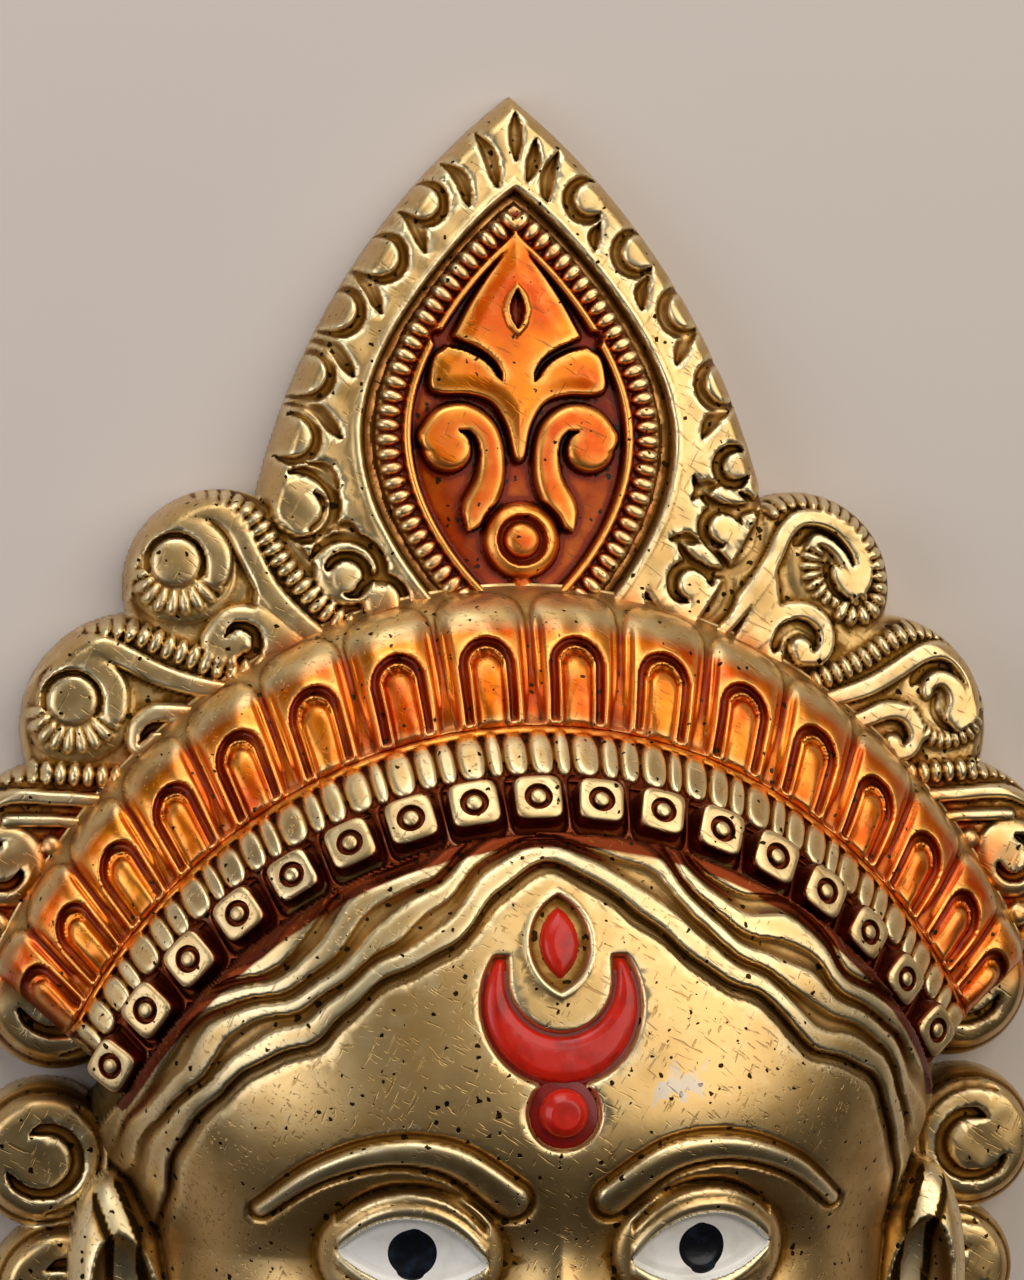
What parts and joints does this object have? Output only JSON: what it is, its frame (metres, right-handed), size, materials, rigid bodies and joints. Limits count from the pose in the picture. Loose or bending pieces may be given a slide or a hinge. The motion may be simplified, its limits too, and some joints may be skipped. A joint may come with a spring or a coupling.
{
  "type": "cast brass deity face mask",
  "caption": "Hollow cast brass face mask with a tall pointed crown, lotus petal roll, bead and gem bands, wavy hair and enamelled forehead marks.",
  "frame": {"origin": "middle of the bounding box's underside, in the plane of the flat back rim", "axes": "+Z out of the face, +Y towards the crown's tip, +X to the right of someone facing the mask"},
  "size_m": [0.1672, 0.241, 0.0663],
  "materials": {
    "cast_brass": "polished high points over olive and brown patina in the recesses, with orange and dark red lacquer on the crown and red, white and black enamel"
  },
  "bodies": {
    "root": {"mask_casting": "cast_brass"}
  },
  "joints": []
}
